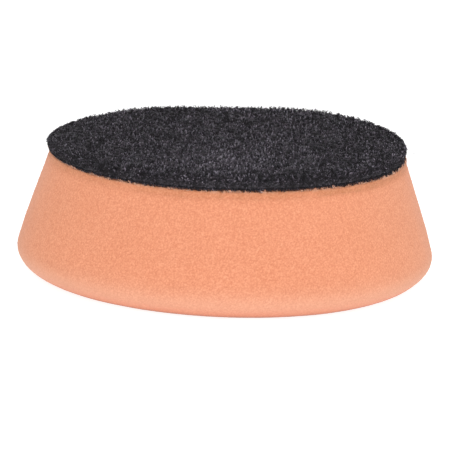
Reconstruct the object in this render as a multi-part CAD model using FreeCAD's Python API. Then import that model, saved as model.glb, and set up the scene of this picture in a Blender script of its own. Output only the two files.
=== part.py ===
# Polishing pad: a tapered foam body with a loop-fabric disc bonded to its narrow end.
#
# Millimetres, +Z up. The origin is the centre of the polishing face, and +Z is the axis that the pad
# turns about, towards the loop fabric that a machine's backing plate grips.

import FreeCAD, Part
import math
import os

# Driving dimensions of the foam body.
WIDEST_DIA = 80.0  # across the shoulder, just above the polishing face
SHOULDER_Z = 5.6  # height of the widest diameter
FLAT_DIA = 65.6  # the flat middle of the polishing face
SHOULDER_BREAK = 2.0  # radius where the lower rounding meets the tapered wall
FOAM_TOP_DIA = 67.2  # the narrow end, where the fabric is bonded
FOAM_HEIGHT = 23.5

# Driving dimensions of the bonded backing, from the foam upwards.
FILM_DIA = 66.8  # the melted film stops a little short of the cut edge
FILM_THICK = 0.3
CLOTH_DIA = 67.6  # the cloth is stiffer than the foam, and stands out a little past it
CLOTH_THICK = 0.7
PILE_DIA = 68.6  # the outermost loops lean out over the cloth's edge
PILE_HEIGHT = 2.2
PILE_RIM = 1.2  # rounding of the brushed rim

FILM_Z = FOAM_HEIGHT
CLOTH_Z = FILM_Z + FILM_THICK
PILE_Z = CLOTH_Z + CLOTH_THICK

ORIGIN = FreeCAD.Vector(0, 0, 0)
UP = FreeCAD.Vector(0, 0, 1)


def at(radius, z):
    """A point of a profile that is turned about Z."""
    return FreeCAD.Vector(radius, 0, z)


def line(start, end):
    return Part.LineSegment(start, end).toShape()


def turned(edges):
    """The solid that a closed profile in the XZ plane sweeps about Z."""
    face = Part.Face(Part.Wire(edges))
    return face.revolve(ORIGIN, UP, 360)


def rounded_edge(solid, radius, z, rounding):
    """The solid with the sharp circular edge of that radius and height rounded off."""
    for edge in solid.Edges:
        if not isinstance(edge.Curve, Part.Circle):
            continue
        centre_z = edge.Curve.Center.z
        if math.isclose(edge.Curve.Radius, radius, abs_tol=0.001) and math.isclose(centre_z, z, abs_tol=0.001):
            return solid.makeFillet(rounding, [edge]).Solids[0]
    raise ValueError(f"no edge of radius {radius} at height {z}")


def make_foam_pad():
    """Flat polishing face, elliptical lower rounding, straight tapered wall and flat bonding face."""
    flat_edge = at(FLAT_DIA / 2, 0)
    shoulder = at(WIDEST_DIA / 2, SHOULDER_Z)
    top_edge = at(FOAM_TOP_DIA / 2, FOAM_HEIGHT)
    top_centre = at(0, FOAM_HEIGHT)
    ellipse = Part.Ellipse(shoulder, flat_edge, at(FLAT_DIA / 2, SHOULDER_Z))
    body = turned(
        [
            line(ORIGIN, flat_edge),
            Part.ArcOfEllipse(ellipse, 0, math.pi / 2).toShape(),
            line(shoulder, top_edge),
            line(top_edge, top_centre),
            line(top_centre, ORIGIN),
        ]
    )
    return rounded_edge(body, WIDEST_DIA / 2, SHOULDER_Z, SHOULDER_BREAK)


def disc(diameter, z, thickness):
    return Part.makeCylinder(diameter / 2, thickness, at(0, z))


def make_adhesive_film():
    """Hot-melt film that bonds the cloth to the foam."""
    return disc(FILM_DIA, FILM_Z, FILM_THICK)


def make_loop_cloth():
    """Knitted ground cloth that holds the loops."""
    return disc(CLOTH_DIA, CLOTH_Z, CLOTH_THICK)


def make_loop_pile():
    """The envelope of the brushed loops: a disc with a rounded upper rim."""
    pile = disc(PILE_DIA, PILE_Z, PILE_HEIGHT)
    return rounded_edge(pile, PILE_DIA / 2, PILE_Z + PILE_HEIGHT, PILE_RIM)


NODES = {
    "foam_pad": make_foam_pad,
    "adhesive_film": make_adhesive_film,
    "loop_cloth": make_loop_cloth,
    "loop_pile": make_loop_pile,
}


def main():
    os.makedirs("parts", exist_ok=True)
    for name, make in NODES.items():
        shape = make()
        shape.exportStep(f"parts/{name}.step")
        box = shape.optimalBoundingBox()
        size = f"{box.XLength:.2f} x {box.YLength:.2f} x {box.ZLength:.2f} mm"
        print(f"{name}: {shape.ShapeType}, valid {shape.isValid()}, {shape.Volume / 1000:.2f} cm3, {size}")


main()
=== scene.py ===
"""Looks of the polishing pad: salmon foam with a bonded disc of brushed charcoal loops.

Every length is in metres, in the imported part's frame. MM turns a length in millimetres into metres.
"""

import math

import bpy
import numpy as np
from mathutils import Matrix, Vector


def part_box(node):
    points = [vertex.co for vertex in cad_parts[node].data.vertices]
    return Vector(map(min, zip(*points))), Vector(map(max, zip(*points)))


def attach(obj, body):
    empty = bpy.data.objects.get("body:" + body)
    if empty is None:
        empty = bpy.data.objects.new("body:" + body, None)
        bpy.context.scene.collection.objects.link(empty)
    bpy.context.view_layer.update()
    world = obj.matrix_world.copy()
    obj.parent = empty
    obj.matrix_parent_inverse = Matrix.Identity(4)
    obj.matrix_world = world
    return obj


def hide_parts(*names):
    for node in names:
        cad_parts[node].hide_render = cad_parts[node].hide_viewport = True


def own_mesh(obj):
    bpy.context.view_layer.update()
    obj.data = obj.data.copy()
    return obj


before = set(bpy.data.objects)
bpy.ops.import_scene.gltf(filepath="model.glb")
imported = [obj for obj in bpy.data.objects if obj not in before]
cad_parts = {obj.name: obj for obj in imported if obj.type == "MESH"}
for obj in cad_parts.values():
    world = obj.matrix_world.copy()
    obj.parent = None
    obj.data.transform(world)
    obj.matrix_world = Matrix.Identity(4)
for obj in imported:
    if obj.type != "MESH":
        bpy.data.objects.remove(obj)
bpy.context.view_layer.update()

MM = 0.001


# ---------------------------------------------------------------- sizes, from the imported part


def foot_and_shoulder():
    """Radius of the foam's flat face, and the height of its widest ring."""
    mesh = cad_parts["foam_pad"].data
    points = np.array([v.co for v in mesh.vertices])
    radius = np.hypot(points[:, 0], points[:, 1])
    flat = radius[points[:, 2] < 0.001 * MM].max()
    return flat, points[radius.argmax(), 2]


def bonded_radius():
    """Radius of the foam's narrow end, where the fabric is bonded."""
    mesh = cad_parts["foam_pad"].data
    points = np.array([v.co for v in mesh.vertices])
    return np.hypot(points[:, 0], points[:, 1])[points[:, 2] > points[:, 2].max() - 0.001 * MM].max()


FLAT_R, SHOULDER_Z = foot_and_shoulder()
FOAM_TOP_R = bonded_radius()
WIDE_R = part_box("foam_pad")[1].x
FOAM_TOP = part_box("foam_pad")[1].z
CLOTH_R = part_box("loop_cloth")[1].x
CLOTH_BOTTOM, CLOTH_TOP = (corner.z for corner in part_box("loop_cloth"))
FILM_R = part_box("adhesive_film")[1].x
PILE_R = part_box("loop_pile")[1].x
PILE_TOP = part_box("loop_pile")[1].z

# The foam wasn't cut quite true: its bonded end climbs a little towards +X and drifts towards -X, and the
# fabric was laid a little further that way still.
LEAN = math.tan(math.radians(0.54))
DRIFT = 0.10 * MM
FABRIC_DRIFT = 0.24 * MM

# Where the rim stands up or sinks: (angle and spread in degrees, height).
SWELLS = [(52, 22, 0.80 * MM), (120, 14, 0.22 * MM), (88, 12, -0.14 * MM), (172, 22, -0.38 * MM)]

# Where the fabric is pressed thinner at its edge, and the foam comes up to meet it: the same three numbers.
PINCHES = [(180, 25, 1.10 * MM), (0, 12, 0.40 * MM)]

rng = np.random.default_rng(41)


# ---------------------------------------------------------------- numbers: noise and profiles


def noise(points, cell, seed):
    """Smooth noise from -1 to 1, whose bumps are about a cell apart."""
    size = 32
    table = np.random.default_rng(seed).uniform(-1, 1, (size, size, size))
    place = points / cell
    low = np.floor(place).astype(int)
    part = place - low
    part = part * part * (3 - 2 * part)
    total = np.zeros(len(points))
    for corner in np.ndindex(2, 2, 2):
        weight = np.prod(np.where(corner, part, 1 - part), axis=1)
        x, y, z = ((low + corner) % size).T
        total += weight * table[x, y, z]
    return total


def evenly(line, step):
    """The same line, with points about a step apart."""
    length = np.concatenate([[0], np.cumsum(np.hypot(*np.diff(line, axis=0).T))])
    count = max(2, int(round(length[-1] / step)) + 1)
    marks = np.linspace(0, length[-1], count)
    return np.stack([np.interp(marks, length, line[:, 0]), np.interp(marks, length, line[:, 1])], axis=1)


def eased(line, spread):
    """The same line with its corners rounded over that many points each side."""
    kernel = np.exp(-0.5 * (np.arange(-3 * spread, 3 * spread + 1) / spread) ** 2)
    kernel /= kernel.sum()
    ends = [np.repeat(line[:1], 3 * spread, axis=0), line, np.repeat(line[-1:], 3 * spread, axis=0)]
    padded = np.concatenate(ends)
    return np.stack([np.convolve(padded[:, i], kernel, "valid") for i in (0, 1)], axis=1)


def around(points, humps):
    """The sum of humps that each stand at an angle, and fade away from it and towards the middle."""
    angle = np.arctan2(points[:, 1], points[:, 0])
    radius = np.clip(np.hypot(points[:, 0], points[:, 1]) / PILE_R, 0, 1)
    total = np.zeros(len(points))
    for middle, spread, height in humps:
        off = angle - math.radians(middle)
        off = np.arctan2(np.sin(off), np.cos(off))
        total += height * np.exp(-0.5 * (off / math.radians(spread)) ** 2)
    return total * radius**4


def lean(points):
    """Tips, drifts, swells and pinches what lies above the polishing face, more the higher it is."""
    points = points.copy()
    share = np.clip(points[:, 2] / FOAM_TOP, 0, 1.2)
    above = (points[:, 2] - FOAM_TOP) / (PILE_TOP - FOAM_TOP)
    pinch = around(points, PINCHES) * np.where(above > 0, np.clip(1 - above, 0, 1), np.clip(share, 0, 1) ** 3)
    points[:, 2] += (LEAN * points[:, 0] + around(points, SWELLS)) * share + pinch
    points[:, 0] -= DRIFT * share + FABRIC_DRIFT * np.clip(above * 10, 0, 1)
    return points


# ---------------------------------------------------------------- meshes


def make_piece(name, points, faces, material, smooth=True, values=None):
    """One mesh object. values holds numbers for its material, one for each point."""
    mesh = bpy.data.meshes.new(name)
    mesh.from_pydata(points.tolist(), [], faces if isinstance(faces, list) else faces.tolist())
    for key, numbers in (values or {}).items():
        mesh.attributes.new(key, "FLOAT", "POINT").data.foreach_set("value", numbers.astype(np.float32))
    mesh.validate()
    mesh.polygons.foreach_set("use_smooth", [smooth] * len(mesh.polygons))
    mesh.materials.append(material)
    mesh.update()
    piece = bpy.data.objects.new(name, mesh)
    bpy.context.scene.collection.objects.link(piece)
    return piece


def ring_disc(rings, radius):
    """A flat disc of triangles of one size: ring k has 6k points. Returns points and faces that look up."""
    points, first = [(0.0, 0.0)], [0]
    for k in range(1, rings + 1):
        first.append(len(points))
        angle = np.arange(6 * k) * math.tau / (6 * k)
        points += list(zip(radius * k / rings * np.cos(angle), radius * k / rings * np.sin(angle)))
    faces = []
    for k in range(rings):
        inner, outer = max(6 * k, 1), 6 * (k + 1)
        for sector in range(6):
            for j in range(k + 1):
                a = first[k] + (sector * k + j) % inner
                c = first[k + 1] + (sector * (k + 1) + j) % outer
                d = first[k + 1] + (sector * (k + 1) + j + 1) % outer
                faces.append((a, c, d))
                if j < k:
                    faces.append((a, d, first[k] + (sector * k + j + 1) % inner))
    return np.array(points), faces, first[rings]


def turned(profile, columns):
    """Rings of points, one for each (radius, z) of the profile, and the angle of each column."""
    angle = np.arange(columns) * math.tau / columns
    circle = np.column_stack([np.cos(angle), np.sin(angle)])
    rings = [np.column_stack([r * circle, np.full(columns, z)]) for r, z in profile]
    return np.concatenate(rings), angle


def band(first, columns, rows):
    """Quads between that many rings of points, where each ring is the next one up."""
    faces = []
    for row in range(rows - 1):
        low, high = first + row * columns, first + (row + 1) * columns
        for j in range(columns):
            k = (j + 1) % columns
            faces.append((low + j, low + k, high + k, high + j))
    return faces


def slab(name, rings, radius, bottom, top, side, material, shape):
    """A closed round slab of even triangles.

    side is the (radius, z) line up its edge, and shape moves the points.
    """
    flat, faces, rim = ring_disc(rings, radius)
    columns = 6 * rings
    under = np.column_stack([flat, np.full(len(flat), bottom)])
    over = np.column_stack([flat, np.full(len(flat), top)])
    walls, _ = turned(side, columns)
    start = 2 * len(flat)
    bottom_faces = [tuple(reversed(f)) for f in faces]
    top_faces = [tuple(i + len(flat) for i in f) for f in faces]
    quads = band(start, columns, len(side))
    last = start + (len(side) - 1) * columns
    for j in range(columns):
        k = (j + 1) % columns
        quads.append((rim + j, rim + k, start + k, start + j))
        quads.append((last + j, last + k, len(flat) + rim + k, len(flat) + rim + j))
    points = lean(shape(np.concatenate([under, over, walls])))
    return make_piece(name, points, bottom_faces + top_faces + quads, material)


# ---------------------------------------------------------------- materials


class Nodes:
    """A small helper for writing a node material."""

    def __init__(self, name):
        self.material = bpy.data.materials.new(name)
        self.material.use_nodes = True
        self.tree = self.material.node_tree
        self.shader = self.tree.nodes["Principled BSDF"]

    def add(self, kind, inputs=None, **settings):
        node = self.tree.nodes.new(kind)
        for key, value in settings.items():
            setattr(node, key, value)
        for key, value in (inputs or {}).items():
            if isinstance(value, bpy.types.NodeSocket):
                self.tree.links.new(value, node.inputs[key])
            else:
                node.inputs[key].default_value = value
        return node

    def ramp(self, factor, stops):
        """A colour ramp through (place, colour) stops."""
        node = self.add("ShaderNodeValToRGB", {"Fac": factor})
        while len(node.color_ramp.elements) < len(stops):
            node.color_ramp.elements.new(0.5)
        for element, (place, colour) in zip(node.color_ramp.elements, stops):
            element.position = place
            element.color = (*colour, 1)
        return node.outputs["Color"]

    def mixed(self, kind, factor, a, b):
        node = self.add("ShaderNodeMix", data_type="RGBA", blend_type=kind)
        for socket, value in ((node.inputs[0], factor), (node.inputs[6], a), (node.inputs[7], b)):
            if isinstance(value, bpy.types.NodeSocket):
                self.tree.links.new(value, socket)
            else:
                socket.default_value = value if isinstance(value, float) else (*value, 1)
        return node.outputs[2]

    def set(self, **inputs):
        for key, value in inputs.items():
            socket = self.shader.inputs[key.replace("_", " ")]
            if isinstance(value, bpy.types.NodeSocket):
                self.tree.links.new(value, socket)
            else:
                socket.default_value = value


def foam_material():
    """Open-cell polyurethane foam: matt salmon, mottled by its cells, deeper along the bonded edge and paler
    in its torn nubs, with painted shade under the fabric and near the table, a painted reflection on the
    lower rounding and a painted contact shadow at the polishing face's edge.
    """
    m = Nodes("salmon_foam")
    place = m.add("ShaderNodeTexCoord").outputs["Object"]
    bond_tint_and_painted_shade = m.add("ShaderNodeAttribute", attribute_name="bond_tint_and_painted_shade").outputs["Fac"]
    cells = m.add("ShaderNodeTexVoronoi", {"Vector": place, "Scale": 2500.0, "Randomness": 1.0})
    grain = m.add("ShaderNodeTexNoise", {"Vector": place, "Scale": 3300.0, "Detail": 2.0, "Roughness": 0.6})
    cloud = m.add("ShaderNodeTexNoise", {"Vector": place, "Scale": 120.0, "Detail": 3.0, "Roughness": 0.5})
    pale_nubs_and_painted_reflection = m.add("ShaderNodeAttribute", attribute_name="pale_nubs_and_painted_reflection").outputs["Fac"]
    painted_shade_near_table = m.add("ShaderNodeAttribute", attribute_name="painted_shade_near_table").outputs["Fac"]
    painted_contact_shadow = m.add("ShaderNodeAttribute", attribute_name="painted_contact_shadow").outputs["Fac"]
    tone = m.ramp(grain.outputs["Fac"], [(0.30, (0.785, 0.315, 0.180)), (0.70, (0.935, 0.465, 0.288))])
    clouded = m.ramp(cloud.outputs["Fac"], [(0.3, (0.98, 0.96, 0.94)), (0.7, (1.0, 1.0, 1.0))])
    colour = m.mixed("MULTIPLY", 1.0, tone, clouded)
    struts = m.ramp(cells.outputs["Distance"], [(0.15, (1.0, 1.0, 1.0)), (0.65, (0.90, 0.80, 0.74))])
    colour = m.mixed("MULTIPLY", 0.8, colour, struts)
    # Darker just under the fabric as painted shade, and deeper along the crease, partly the bond's own tint
    # and partly painted shade.
    colour = m.mixed("MULTIPLY", bond_tint_and_painted_shade, colour, (0.76, 0.75, 0.67))
    # Paler torn nubs, and a painted reflection of the bright table on the lower rounding.
    colour = m.mixed("MIX", pale_nubs_and_painted_reflection, colour, (0.70, 0.470, 0.360))
    # Painted shade: the colour deepens near the table.
    colour = m.mixed("MULTIPLY", painted_shade_near_table, colour, (0.95, 0.60, 0.48))
    # Painted contact shadow: a dark edge where the polishing face meets the table.
    colour = m.mixed("MULTIPLY", painted_contact_shadow, colour, (0.40, 0.63, 0.80))
    rough = m.ramp(grain.outputs["Fac"], [(0.3, (0.86, 0.86, 0.86)), (0.7, (0.98, 0.98, 0.98))])
    bump = m.add("ShaderNodeBump", {"Height": grain.outputs["Fac"], "Strength": 0.7, "Distance": 0.10 * MM})
    m.set(Base_Color=colour, Roughness=rough, Normal=bump.outputs["Normal"], Diffuse_Roughness=0.5)
    m.set(Specular_IOR_Level=0.2, Sheen_Weight=0.14, Sheen_Roughness=0.4, Sheen_Tint=(1.0, 0.97, 0.95, 1))
    return m.material


def film_material():
    """Cloudy hot-melt film, dark amber to brown, whose dark edge also stands as painted shade in the gap
    between the foam and the fabric.
    """
    m = Nodes("bond_film")
    place = m.add("ShaderNodeTexCoord").outputs["Object"]
    cloud = m.add("ShaderNodeTexNoise", {"Vector": place, "Scale": 600.0, "Detail": 4.0})
    colour = m.ramp(cloud.outputs["Fac"], [(0.3, (0.10, 0.04, 0.025)), (0.7, (0.30, 0.12, 0.06))])
    rough = m.ramp(cloud.outputs["Fac"], [(0.3, (0.35, 0.35, 0.35)), (0.7, (0.6, 0.6, 0.6))])
    m.set(Base_Color=colour, Roughness=rough)
    return m.material


def ground_material():
    """Matt black knitted nylon, under the loops."""
    m = Nodes("ground_knit")
    place = m.add("ShaderNodeTexCoord").outputs["Object"]
    wales = m.add("ShaderNodeTexWave", {"Vector": place, "Scale": 900.0, "Distortion": 2.5, "Detail": 2.0})
    fuzz = m.add("ShaderNodeTexNoise", {"Vector": place, "Scale": 3000.0, "Detail": 4.0})
    colour = m.ramp(fuzz.outputs["Fac"], [(0.3, (0.006, 0.006, 0.007)), (0.7, (0.020, 0.019, 0.022))])
    rough = m.ramp(fuzz.outputs["Fac"], [(0.3, (0.8, 0.8, 0.8)), (0.7, (0.95, 0.95, 0.95))])
    bump = m.add("ShaderNodeBump", {"Height": wales.outputs["Fac"], "Strength": 0.5, "Distance": 0.1 * MM})
    m.set(Base_Color=colour, Roughness=rough, Normal=bump.outputs["Normal"], Specular_IOR_Level=0.2)
    return m.material


def yarn_material(name, stops):
    """Textured nylon yarn. Each yarn has its own shade, with painted shade towards its ends, and it wanders
    along the yarn.
    """
    m = Nodes(name)
    place = m.add("ShaderNodeTexCoord").outputs["Object"]
    shade = m.add("ShaderNodeAttribute", attribute_name="shade").outputs["Fac"]
    twist = m.add("ShaderNodeTexNoise", {"Vector": place, "Scale": 5000.0, "Detail": 2.0})
    patch = m.add("ShaderNodeTexNoise", {"Vector": place, "Scale": 260.0, "Detail": 2.0})
    colour = m.ramp(shade, stops)
    darker = m.ramp(twist.outputs["Fac"], [(0.3, (0.62, 0.62, 0.62)), (0.7, (1.0, 1.0, 1.0))])
    colour = m.mixed("MULTIPLY", 1.0, colour, darker)
    tinted = m.ramp(patch.outputs["Fac"], [(0.35, (0.88, 0.89, 0.92)), (0.65, (1.0, 0.97, 1.0))])
    colour = m.mixed("MULTIPLY", 1.0, colour, tinted)
    rough = m.ramp(twist.outputs["Fac"], [(0.3, (0.45, 0.45, 0.45)), (0.7, (0.75, 0.75, 0.75))])
    m.set(Base_Color=colour, Roughness=rough, Specular_IOR_Level=0.35)
    return m.material


# ---------------------------------------------------------------- foam


# How full the lower rounding is: 2 would be an ellipse, and less is flatter.
ROUNDNESS = 1.95


def foam_profile():
    """(radius, z) up the foam's side, from the edge of the flat face to the bonded edge."""
    turn = np.linspace(0, math.pi / 2, 80)
    power = 2 / ROUNDNESS
    arc_r = FLAT_R + (WIDE_R - FLAT_R) * np.sin(turn) ** power
    arc_z = SHOULDER_Z * (1 - np.cos(turn) ** power)
    rounding = np.stack([arc_r, arc_z], axis=1)
    outline = np.concatenate([rounding, [(FOAM_TOP_R, FOAM_TOP)]])
    return evenly(eased(evenly(outline, 0.05 * MM), 12), 0.33 * MM)


def make_foam(material):
    """One closed body: even triangles on the polishing face, rings up the side, a coarse hidden top."""
    rings = 104
    flat, faces, rim = ring_disc(rings, FLAT_R)
    columns = 6 * rings
    side = foam_profile()[1:]
    under = np.column_stack([flat, np.zeros(len(flat))])
    walls, angle = turned(side, columns)
    start = len(flat)
    top = turned([(FOAM_TOP_R * share, FOAM_TOP) for share in (0.97, 0.7, 0.35)], columns)[0]
    points = np.concatenate([under, walls, top, [(0, 0, FOAM_TOP)]])
    quads = [(rim + j, rim + (j + 1) % columns, start + (j + 1) % columns, start + j) for j in range(columns)]
    quads += band(start, columns, len(side) + 3)
    last, centre = len(points) - 1 - columns, len(points) - 1
    fan = [(last + j, last + (j + 1) % columns, centre) for j in range(columns)]
    faces = [tuple(reversed(f)) for f in faces] + quads + fan
    points, wear = foam_shape(points, start, len(side), columns)
    return make_piece("foam_body", lean(points), faces, material, values=wear)


def foam_shape(points, start, rows, columns):
    """Waves, open cells, the crease under the fabric and the torn nubs along the bonded edge.

    Also returns, for every point, how strong each colour mark is: the deeper tint that the bonding left along
    the crease, with painted shade just under the fabric; the paler torn nubs, with a painted reflection of
    the bright table on the lower rounding; painted shade that deepens the colour near the table; and a
    painted contact shadow along the edge of the polishing face.
    """
    points = points.copy()
    radius = np.maximum(np.hypot(points[:, 0], points[:, 1]), 1e-9)
    outward = np.column_stack([points[:, 0] / radius, points[:, 1] / radius, np.zeros(len(points))])
    angle = np.arctan2(points[:, 1], points[:, 0])
    depth = FOAM_TOP - points[:, 2]
    on_side = np.zeros(len(points), bool)
    on_side[start : start + rows * columns] = True

    # Cells: each point of the skin sits a little in or out.
    cells = noise(points, 0.55 * MM, 1) * 0.028 * MM + rng.normal(0, 0.023 * MM, len(points))
    waves = noise(points, 14 * MM, 2) * 0.14 * MM + noise(points, 4.5 * MM, 3) * 0.05 * MM
    bulge = 0.25 * MM * np.clip((points[:, 2] - SHOULDER_Z) / (5 * MM), 0, 1)
    shift = cells + waves + bulge

    # The edge is drawn in where the adhesive holds it, with a crease about 1.1 mm below it.
    wander = 1.1 * MM + noise(points * (1, 1, 0), 7 * MM, 7) * 0.15 * MM
    strength = 0.55 + 0.40 * np.cos(angle + math.radians(48)) + 0.3 * noise(points, 9 * MM, 4)
    strength = np.clip(strength, 0.15, 1.1)
    crease = np.exp(-(((depth - wander) / (0.38 * MM)) ** 2))
    shift -= strength * 0.24 * MM * crease
    shift += 0.28 * MM * np.exp(-((depth / (1.0 * MM)) ** 2))
    points[on_side] += (outward * shift[:, None])[on_side]
    # The deeper tint along and above the crease is partly the bond's own colour and partly painted shade; the
    # foam just under the fabric is painted darker, as shade.
    above = 1 / (1 + np.exp((depth - wander) / (0.16 * MM)))
    patchy = np.clip(0.65 + 0.6 * noise(points, 0.9 * MM, 8) + 0.4 * noise(points, 3.0 * MM, 9), 0, 1.3)
    near = np.exp(-((np.maximum(depth, 0) / (1.3 * MM)) ** 2))
    bond_tint_and_painted_shade = strength * (0.30 * above + 0.45 * crease) * patchy
    bond_tint_and_painted_shade = np.clip(bond_tint_and_painted_shade + 0.75 * near, 0, 1)
    # Painted shade: the foam's colour deepens near the table.
    height = np.where(on_side, points[:, 2], 9 * MM)
    painted_shade_near_table = np.exp(-((height / (1.95 * MM)) ** 2))
    # Painted contact shadow along the edge of the polishing face.
    painted_contact_shadow = np.exp(-((height / (1.0 * MM)) ** 2))

    # The polishing face is open cells, all at or above the surface that it rests on.
    face = points[:start, 2]
    edge = np.clip((FLAT_R - radius[:start]) / (1.0 * MM), 0, 1)
    pits = np.abs(noise(points[:start], 0.8 * MM, 5)) * 0.10 * MM + np.abs(rng.normal(0, 0.03 * MM, start))
    face += pits * edge
    points[:, 2] = np.maximum(points[:, 2], 0)

    # Torn nubs stand over the film along the bonded edge.
    rim = slice(start + (rows - 1) * columns, start + rows * columns)
    nubs = np.clip(noise(points[rim], 0.5 * MM, 6) + rng.normal(0, 0.35, columns), 0, 1.2)
    points[rim, 2] += nubs * 0.34 * MM
    points[rim] += outward[rim] * (nubs * 0.10 * MM)[:, None]

    height = points[:, 2]
    # A painted reflection of the bright table on the lower rounding; the torn nubs are paler in their own
    # colour.
    pale_nubs_and_painted_reflection = 0.38 / (1 + np.exp((height - (SHOULDER_Z - 0.2 * MM)) / (0.9 * MM)))
    pale_nubs_and_painted_reflection *= 0.10 + 0.90 * np.clip((height - 0.4 * MM) / (1.4 * MM), 0, 1)
    pale_nubs_and_painted_reflection[rim] = 0.5 * nubs
    return points, {"bond_tint_and_painted_shade": bond_tint_and_painted_shade, "pale_nubs_and_painted_reflection": np.clip(pale_nubs_and_painted_reflection, 0, 1), "painted_shade_near_table": painted_shade_near_table, "painted_contact_shadow": painted_contact_shadow}


# ---------------------------------------------------------------- film and cloth


def make_film():
    side = [(FILM_R, z) for z in np.linspace(FOAM_TOP + 0.02 * MM, CLOTH_BOTTOM - 0.02 * MM, 4)]

    def shape(points):
        radius = np.hypot(points[:, 0], points[:, 1])
        edge = radius > FILM_R - 0.2 * MM
        out = 1 + noise(points, 0.9 * MM, 11) * 0.10 * MM / np.maximum(radius, 1 * MM) * edge
        return points * np.column_stack([out, out, np.ones(len(points))])

    return slab("bond_film", 40, FILM_R - 0.1 * MM, side[0][1], side[-1][1], side, film_material(), shape)


def make_cloth():
    side = [(CLOTH_R, z) for z in np.linspace(CLOTH_BOTTOM, CLOTH_TOP, 5)]

    def shape(points):
        points = points.copy()
        radius = np.hypot(points[:, 0], points[:, 1])
        edge = radius > CLOTH_R - 0.4 * MM
        out = 1 + noise(points, 0.45 * MM, 12) * 0.12 * MM / CLOTH_R * edge
        points[:, :2] *= out[:, None]
        upper = points[:, 2] > CLOTH_TOP - 0.05 * MM
        points[upper, 2] += noise(points[upper], 0.7 * MM, 13) * 0.05 * MM
        return points

    cut = CLOTH_R - 0.25 * MM
    return slab("ground_cloth", 84, cut, CLOTH_BOTTOM, CLOTH_TOP, side, ground_material(), shape)


# ---------------------------------------------------------------- pile

# The matted feet of the loops fill this share of the pile's height, and the free loops stand on them.
MAT_SHARE = 0.60
MAT_HEIGHT = (PILE_TOP - CLOTH_TOP) * MAT_SHARE


def mat_height(points):
    """How far the matted feet of the loops reach up from the cloth, at each point."""
    clumps = noise(points, 0.8 * MM, 21) * 0.08 * MM + noise(points, 3.2 * MM, 22) * 0.05 * MM
    return MAT_HEIGHT + clumps


def lighter_patches(points):
    """How much lighter the yarns are made: in random patches, and most in the middle of the near side."""
    patches = noise(points, 11 * MM, 23) * 0.06 - 0.035
    across = points[:, 0] / (13 * MM)
    along = (points[:, 1] + 14 * MM) / (17 * MM)
    return patches + 0.19 * np.exp(-(across**2) - along**2)


def make_mat(material):
    """The dense feet of the loops, which no light gets through."""
    reach = PILE_R - 0.3 * MM
    curve = 0.8 * MM
    turn = np.linspace(0, math.pi / 2, 7)
    side = [(CLOTH_R - 0.1 * MM, CLOTH_BOTTOM + 0.05 * MM), (reach - 0.1 * MM, CLOTH_BOTTOM + 0.4 * MM)]
    side += [(reach, z) for z in np.linspace(CLOTH_TOP, CLOTH_TOP + MAT_HEIGHT - curve, 3)]
    crown = CLOTH_TOP + MAT_HEIGHT
    side += [(reach - curve * (1 - math.cos(t)), crown - curve * (1 - math.sin(t))) for t in turn[1:]]

    def shape(points):
        points = points.copy()
        upper = points[:, 2] > CLOTH_TOP + 0.1 * MM
        radius = np.hypot(points[:, 0], points[:, 1])
        fall = np.clip((reach - radius) / (1.0 * MM), 0, 1)
        points[upper, 2] += ((mat_height(points) - MAT_HEIGHT) * fall)[upper]
        rough = upper | (radius > CLOTH_R - 0.5 * MM)
        points[rough] += rng.normal(0, 0.06 * MM, (rough.sum(), 3))
        points[:, 2] = np.maximum(points[:, 2], CLOTH_BOTTOM)
        return points

    bottom = CLOTH_TOP - 0.05 * MM
    piece = slab("pile_mat", 100, reach - curve, bottom, CLOTH_TOP + MAT_HEIGHT, side, material, shape)
    shade = np.clip(rng.normal(0.18, 0.26, len(piece.data.vertices)), 0, 1).astype(np.float32)
    piece.data.attributes.new("shade", "FLOAT", "POINT").data.foreach_set("value", shade)
    return piece


def tubes(name, lines, radii, shades, material, attribute="shade"):
    """One mesh of thin three-sided yarns.

    lines is (yarns, points, 3), and radii and shades have one for each yarn. The shades, darkened towards
    each yarn's ends as painted shade, are kept on the mesh under the attribute's name, for its material.
    """
    count, steps, _ = lines.shape
    along = np.gradient(lines, axis=1)
    along /= np.maximum(np.linalg.norm(along, axis=2, keepdims=True), 1e-12)
    helper = rng.normal(size=(count, 1, 3))
    across = np.cross(along, helper)
    across /= np.maximum(np.linalg.norm(across, axis=2, keepdims=True), 1e-12)
    third = np.cross(along, across)
    sides = 3
    taper = np.ones(steps)
    taper[[0, -1]] = 0.7
    thick = radii[:, None, None] * taper[None, :, None]
    rings = [
        lines + thick * (math.cos(turn) * across + math.sin(turn) * third)
        for turn in np.arange(sides) * math.tau / sides
    ]
    points = np.stack(rings, axis=2).reshape(-1, 3)
    yarn = np.arange(count)[:, None, None] * steps * sides
    step = np.arange(steps - 1)[None, :, None] * sides
    side = np.arange(sides)[None, None, :]
    a = yarn + step + side
    b = yarn + step + (side + 1) % sides
    quads = np.stack([a, b, b + sides, a + sides], axis=-1).reshape(-1, 4)
    start = (np.arange(count) * steps * sides)[:, None]
    end = start + (steps - 1) * sides
    caps = np.concatenate([start + [2, 1, 0], end + [0, 1, 2]])
    # Painted shade: each yarn is darker towards its ends, where it goes down into the pile, and lighter at
    # its middle.
    painted_shade_at_ends = np.sin(math.pi * np.linspace(0, 1, steps)) * 0.35 - 0.25
    shade = np.clip(shades[:, None, None] + painted_shade_at_ends[None, :, None] + np.zeros((1, 1, sides)), 0, 1)
    values = {attribute: shade.reshape(-1)}
    return make_piece(name, lean(points), quads.tolist() + caps.tolist(), material, values=values)


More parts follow.
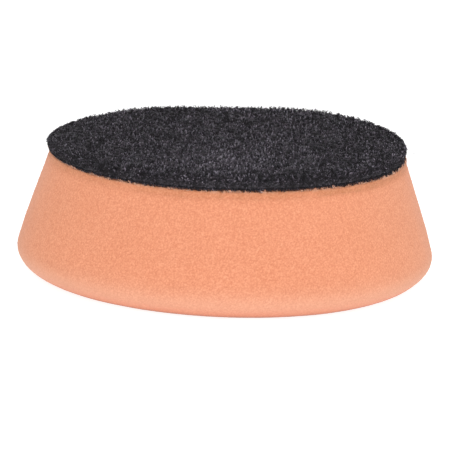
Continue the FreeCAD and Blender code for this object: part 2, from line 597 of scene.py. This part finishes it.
def loops(feet, up, width, height, tilt):
    """Arched yarns that leave their feet along up and lean over sideways by tilt."""
    count, steps = len(feet), 6
    random = rng.normal(size=(count, 3))
    run = np.cross(up, random)
    run /= np.linalg.norm(run, axis=1, keepdims=True)
    aside = np.cross(run, up)
    t = np.linspace(0, 1, steps)[None, :, None]
    spread = (t - 0.5) + 0.16 * np.sin(math.tau * t)
    arch = np.sin(math.pi * t) ** 0.8
    lines = feet[:, None] + run[:, None] * width[:, None, None] * spread
    lines = lines + up[:, None] * height[:, None, None] * arch
    lines = lines + aside[:, None] * tilt[:, None, None] * arch
    return lines + rng.normal(0, 0.04 * MM, lines.shape)


def spread_over_disc(count, radius):
    """Points spread evenly but not regularly over a disc."""
    k = np.arange(count) + 0.5
    r = radius * np.sqrt(k / count)
    angle = k * math.pi * (3 - math.sqrt(5))
    spot = np.stack([r * np.cos(angle), r * np.sin(angle)], axis=1)
    return spot + rng.normal(0, 0.16 * MM, spot.shape)


def make_top_loops(pieces, per_piece, material):
    """The brushed loops over the top of the disc, as several pieces of one size."""
    count = pieces * per_piece
    spot = spread_over_disc(count, PILE_R - 0.35 * MM)
    feet = np.column_stack([spot, np.zeros(count)])
    feet[:, 2] = CLOTH_TOP + mat_height(feet) - 0.12 * MM
    outward = spot / PILE_R
    rim = np.clip((np.hypot(*spot.T) - (PILE_R - 1.6 * MM)) / (1.6 * MM), 0, 1)
    up = np.column_stack([outward * (rim * 0.9)[:, None], np.ones(count)]) + rng.normal(0, 0.3, (count, 3))
    up /= np.linalg.norm(up, axis=1, keepdims=True)
    feet[:, 2] -= rim * 0.4 * MM
    width = rng.uniform(0.18, 0.46, count) * MM
    height = rng.normal(0.60, 0.10, count).clip(0.30, 0.85) * MM
    tilt = rng.normal(0, 0.22, count) * MM
    lines = loops(feet, up, width, height, tilt)
    radii = rng.uniform(0.045, 0.080, count) * MM
    shades = np.clip(rng.beta(0.8, 1.5, count) + lighter_patches(feet), 0, 1)
    order = np.argsort(np.arctan2(spot[:, 1], spot[:, 0]), kind="stable")
    made = []
    for i in range(pieces):
        chosen = order[i * per_piece : (i + 1) * per_piece]
        made.append(tubes(f"pile_loops_{i + 1}", lines[chosen], radii[chosen], shades[chosen], material))
    return made


def make_rim_loops(pieces, per_piece, material):
    """Loops that lean out over the cut edge of the cloth, all the way round."""
    count = pieces * per_piece
    angle = np.sort(rng.uniform(0, math.tau, count))
    climb = rng.uniform(0, 1, count)
    z = CLOTH_BOTTOM + 0.1 * MM + climb * (PILE_TOP - 0.75 * MM - CLOTH_BOTTOM)
    outward = np.stack([np.cos(angle), np.sin(angle), np.zeros(count)], axis=1)
    inset = np.where(z < CLOTH_TOP, CLOTH_R - 0.10 * MM, PILE_R - 0.40 * MM)
    inset -= np.clip(climb - 0.75, 0, 1) * 1.6 * MM
    feet = outward * inset[:, None]
    feet[:, 2] = z
    up = outward + rng.normal(0, 0.3, (count, 3))
    up[:, 2] += climb * 1.1 - 0.30
    up /= np.linalg.norm(up, axis=1, keepdims=True)
    width = rng.uniform(0.22, 0.60, count) * MM
    height = (0.26 + 0.30 * climb) * rng.uniform(0.55, 1.3, count) * MM
    tilt = rng.normal(0, 0.15, count) * MM
    lines = loops(feet, up, width, height, tilt)
    hang = rng.uniform(0.05, 0.65, (count, 1)) * MM
    lines[:, :, 2] = np.maximum(lines[:, :, 2], CLOTH_BOTTOM - hang)
    # Painted shade: yarns lower down the cut edge are darker.
    shades = np.clip(rng.beta(1.0, 1.9, count) * (0.75 + 0.25 * climb) + lighter_patches(feet), 0, 1)
    radii = rng.uniform(0.045, 0.078, count) * MM
    made = []
    for i in range(pieces):
        part = slice(i * per_piece, (i + 1) * per_piece)
        made.append(tubes(f"pile_rim_{i + 1}", lines[part], radii[part], shades[part], material))
    return made


def make_fringe(count, material):
    """Short filaments of the cut edge that hang over the foam, longer in tufts."""
    steps = 5
    angle = np.sort(rng.uniform(0, math.tau, count))
    outward = np.stack([np.cos(angle), np.sin(angle), np.zeros(count)], axis=1)
    tufts = np.clip(0.55 + 0.9 * noise(outward * PILE_R, 0.45 * MM, 14), 0.05, 1.3)
    drop = (0.12 + 0.42 * tufts) * rng.uniform(0.6, 1.1, count) * MM
    aside = np.cross(outward, (0, 0, 1)) * rng.normal(0, 0.12 * MM, count)[:, None]
    start = outward * (CLOTH_R + rng.uniform(0.0, 0.30, count) * MM)[:, None]
    start[:, 2] = CLOTH_BOTTOM + 0.22 * MM
    t = np.linspace(0, 1, steps)[None, :, None]
    lines = start[:, None] + aside[:, None] * t
    lines = lines + outward[:, None] * (0.08 * MM * np.sin(math.pi * t))
    lines[:, :, 2] -= (drop + 0.22 * MM)[:, None] * t[:, :, 0]
    shades = rng.beta(0.8, 2.6, count)
    return tubes("pile_fringe", lines, rng.uniform(0.028, 0.050, count) * MM, shades, material)


def make_nubs(count, material):
    """Torn shreds of foam that stand up over the film along the bonded edge."""
    steps = 4
    angle = np.sort(rng.uniform(0, math.tau, count))
    outward = np.stack([np.cos(angle), np.sin(angle), np.zeros(count)], axis=1)
    size = np.clip(0.5 + 0.8 * noise(outward * FOAM_TOP_R, 0.6 * MM, 15), 0.1, 1.2)
    size *= rng.uniform(0.7, 1.2, count)
    start = outward * (FOAM_TOP_R + 0.42 * MM)
    start[:, 2] = FOAM_TOP - 0.20 * MM
    aside = np.cross(outward, (0, 0, 1)) * rng.normal(0, 0.10 * MM, count)[:, None]
    t = np.linspace(0, 1, steps)[None, :, None]
    lines = start[:, None] + (aside + outward * (0.22 * MM * size)[:, None])[:, None] * t
    lines[:, :, 2] += (0.55 * MM * size)[:, None] * t[:, :, 0]
    shades = rng.uniform(0.3, 1.0, count)
    radii = rng.uniform(0.05, 0.085, count) * MM
    return tubes("foam_nubs", lines, radii, shades, material, attribute="pale_nubs_and_painted_reflection")


def make_strays(count, material):
    """Fine brushed-out filaments that wander over the loops and stand up here and there."""
    steps = 14
    spot = spread_over_disc(count, PILE_R + 0.1 * MM)
    rng.shuffle(spot)
    heading = rng.uniform(0, math.tau, count)
    curl = rng.normal(0, 0.42, count)
    stride = rng.uniform(0.13, 0.34, count) * MM
    place = np.column_stack([spot, np.full(count, PILE_TOP - 0.15 * MM)])
    rise = np.abs(rng.normal(0.10, 0.20, count)) * MM
    lines = np.zeros((count, steps, 3))
    for i in range(steps):
        lines[:, i] = place
        lines[:, i, 2] += rise * math.sin(math.pi * i / (steps - 1))
        heading = heading + curl + rng.normal(0, 0.35, count)
        place = place + np.column_stack([np.cos(heading), np.sin(heading), np.zeros(count)]) * stride[:, None]
    out = np.hypot(lines[..., 0], lines[..., 1])
    drop = np.clip((out - (PILE_R - 1.2 * MM)) / (1.2 * MM), 0, 1.5)
    lines[..., 2] -= drop**2 * 0.8 * MM
    lines[..., 2] += rng.normal(0, 0.04 * MM, lines.shape[:2])
    shades = rng.beta(2.5, 1.5, count)
    return tubes("pile_stray_fibres", lines, rng.uniform(0.02, 0.034, count) * MM, shades, material)


# ---------------------------------------------------------------- stage


def make_floor():
    """A plain white table, lit from below like a photographer's light table."""
    half = 12.0
    points = np.array([(-half, -half, 0), (half, -half, 0), (half, half, 0), (-half, half, 0)])
    m = Nodes("white_table")
    m.set(Base_Color=(0.46, 0.46, 0.46, 1), Roughness=0.9, Specular_IOR_Level=0.1)
    m.set(Emission_Color=(1, 1, 1, 1), Emission_Strength=0.88)
    floor = make_piece("floor", points, [(0, 1, 2, 3)], m.material, smooth=False)


def make_light():
    """A soft grey sky over a white horizon, a broad soft lamp in front, and weaker ones right and behind."""
    world = bpy.data.worlds.new("studio")
    world.use_nodes = True
    tree = world.node_tree
    direction = tree.nodes.new("ShaderNodeTexCoord")
    split = tree.nodes.new("ShaderNodeSeparateXYZ")
    ramp = tree.nodes.new("ShaderNodeValToRGB")
    tree.links.new(direction.outputs["Generated"], split.inputs["Vector"])
    tree.links.new(split.outputs["Z"], ramp.inputs["Fac"])
    tree.links.new(ramp.outputs["Color"], tree.nodes["Background"].inputs["Color"])
    for stop, (place, grey) in zip(ramp.color_ramp.elements, [(0.04, 1.0), (0.13, 0.22)]):
        stop.position = place
        stop.color = (grey, grey, grey, 1)
    tree.nodes["Background"].inputs["Strength"].default_value = 1.0
    bpy.context.scene.world = world
    add_softbox("front", Vector((0.0, -1.1, 0.75)), 1.0, 11.5)
    add_softbox("right", Vector((1.05, -0.55, 0.60)), 0.8, 1.5)
    add_softbox("behind", Vector((0.0, 1.25, 0.70)), 1.2, 7.0)


def add_softbox(name, place, size, power):
    """A square soft light that faces the pad."""
    lamp = bpy.data.lights.new(name, "AREA")
    lamp.size = size
    lamp.energy = power
    holder = bpy.data.objects.new(name, lamp)
    aim = Vector((0, 0, FOAM_TOP / 2))
    turn = (aim - place).to_track_quat("-Z", "Y").to_matrix().to_4x4()
    holder.matrix_world = Matrix.Translation(place) @ turn
    bpy.context.scene.collection.objects.link(holder)


def make_camera():
    """A long lens, a little above the table and a little off level."""
    elevation, roll = math.radians(12.88), math.radians(2.23)
    distance = 0.594
    camera = bpy.data.cameras.new("camera")
    camera.sensor_width = 36
    camera.lens = 246.9
    camera.clip_end = 50
    back = Vector((0, -math.cos(elevation), math.sin(elevation)))
    up = Vector((0, math.sin(elevation), math.cos(elevation)))
    aim = Vector((-0.1 * MM, 0, 12 * MM)) - up * (2.4 * MM)
    turn = Matrix((Vector((1, 0, 0)), up, back)).transposed() @ Matrix.Rotation(roll, 3, "Z")
    holder = bpy.data.objects.new("camera", camera)
    holder.matrix_world = Matrix.Translation(aim + back * distance) @ turn.to_4x4()
    bpy.context.scene.collection.objects.link(holder)
    bpy.context.scene.camera = holder
    bpy.context.scene.view_settings.view_transform = "Standard"


# ---------------------------------------------------------------- assembly

# How many: (pieces, loops in each piece) of the loops, then single filaments and shreds.
TOP_LOOPS = (4, 6000)
RIM_LOOPS = (2, 5200)
STRAYS = 900
FRINGE = 3000
NUBS = 1100

# Shades of the loops' yarn: tones that differ from yarn to yarn, up to a few pale ones that are painted
# highlights where fibres catch the light.
YARN_STOPS = [
    (0.0, (0.012, 0.0105, 0.0130)),
    (0.40, (0.045, 0.0400, 0.0480)),
    (0.70, (0.190, 0.1690, 0.2020)),
    (1.0, (0.680, 0.6150, 0.7150)),
]


def main():
    make_camera()
    make_light()
    make_floor()

    salmon = foam_material()
    foam = make_foam(salmon)
    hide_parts("foam_pad")
    nubs = make_nubs(NUBS, salmon)
    for piece in (foam, nubs):
        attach(piece, "foam")
        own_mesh(piece)

    film = make_film()
    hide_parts("adhesive_film")

    cloth = make_cloth()
    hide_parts("loop_cloth")

    yarn = yarn_material("charcoal_yarn", YARN_STOPS)
    fuzz = yarn_material("brushed_filament", [(0.0, (0.07, 0.068, 0.075)), (1.0, (0.26, 0.25, 0.27))])
    feet = yarn_material("pile_feet", [(0.0, (0.006, 0.0053, 0.0065)), (1.0, (0.17, 0.152, 0.18))])
    mat = make_mat(feet)
    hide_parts("loop_pile")
    pile = [mat, *make_top_loops(*TOP_LOOPS, yarn), *make_rim_loops(*RIM_LOOPS, yarn)]
    pile += [make_strays(STRAYS, fuzz), make_fringe(FRINGE, yarn)]
    for piece in [film, cloth, *pile]:
        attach(piece, "backing")


main()
